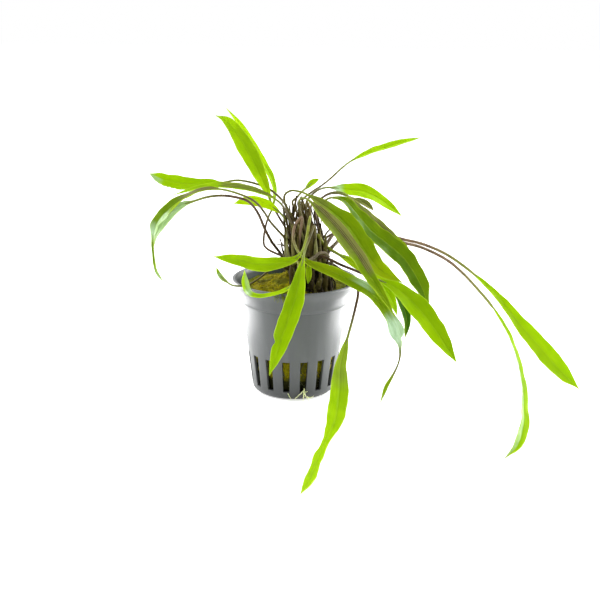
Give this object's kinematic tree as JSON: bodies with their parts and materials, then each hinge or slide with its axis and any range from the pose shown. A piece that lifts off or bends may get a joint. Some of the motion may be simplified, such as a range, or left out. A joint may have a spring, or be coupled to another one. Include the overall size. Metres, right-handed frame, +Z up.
{
  "type": "potted cryptocoryne",
  "caption": "Aquarium cryptocoryne with long lance-shaped leaves on thin brown stalks, rooted in mineral wool in a grey slotted net pot.",
  "frame": {"origin": "middle of the pot's underside, which is the plane that it stands on", "axes": "+Z up along the pot's axis; -Y towards the front, where a leaf hangs over the rim; +X towards the two longest leaves"},
  "size_m": [0.1904, 0.1515, 0.1193],
  "materials": {
    "pot_plastic": "smooth satin moulded plastic",
    "wool": "matted mineral fibre, wet and stained",
    "rootstock": "rough fibrous",
    "root": "smooth young root",
    "stalk_brown": "smooth, waxy",
    "stalk_tan": "smooth, waxy",
    "leaf_green": "thin glossy leaf",
    "leaf_bright": "thin glossy leaf, light coming through",
    "leaf_dark": "thin glossy leaf in shade"
  },
  "bodies": {
    "root": {"pot": "pot_plastic", "mineral_wool": "wool", "rootstock": "rootstock", "root_tuft": "root", "stem_upper_left": "stalk_brown", "leaf_upper_left": "leaf_bright", "stem_upper_left_rear": "stalk_brown", "leaf_upper_left_rear": "leaf_bright", "stem_far_left": "stalk_brown", "leaf_far_left": "leaf_bright", "stem_left_folded": "stalk_brown", "leaf_left_folded": "leaf_bright", "stem_left_yellow": "stalk_brown", "leaf_left_yellow": "leaf_bright", "stem_left_drooping": "stalk_brown", "leaf_left_drooping": "leaf_green", "stem_left_arching": "stalk_brown", "leaf_left_arching": "leaf_green", "stem_front_left": "stalk_brown", "leaf_front_left": "leaf_bright", "stem_front_hanging": "stalk_brown", "leaf_front_hanging": "leaf_bright", "stem_front_right_glossy": "stalk_tan", "leaf_front_right_glossy": "leaf_green", "stem_rim_curl": "stalk_brown", "leaf_rim_curl": "leaf_bright", "stem_small_left": "stalk_brown", "leaf_small_left": "leaf_green", "stem_striped": "stalk_brown", "leaf_striped": "leaf_green", "stem_upper_right_front": "stalk_brown", "leaf_upper_right_front": "leaf_green", "stem_right_low": "stalk_brown", "leaf_right_low": "leaf_bright", "stem_right_dark": "stalk_brown", "leaf_right_dark": "leaf_green", "stem_right_rear": "stalk_brown", "leaf_right_rear": "leaf_green", "stem_top_right_bright": "stalk_brown", "leaf_top_right_bright": "leaf_bright", "stem_small_withered": "stalk_brown", "leaf_small_withered": "leaf_green", "stem_top_arching": "stalk_brown", "leaf_top_arching": "leaf_bright", "stem_top_short": "stalk_brown", "leaf_top_short": "leaf_bright", "stem_far_right": "stalk_tan", "leaf_far_right": "leaf_bright", "stem_far_right_low": "stalk_tan", "leaf_far_right_low": "leaf_bright", "stem_floor_front": "stalk_brown", "leaf_floor_front": "leaf_bright", "stem_right_yellow": "stalk_brown", "leaf_right_yellow": "leaf_bright", "stem_right_hidden": "stalk_brown", "leaf_right_hidden": "leaf_dark", "stem_young_bract": "stalk_brown", "leaf_young_bract": "leaf_bright"}
  },
  "joints": []
}
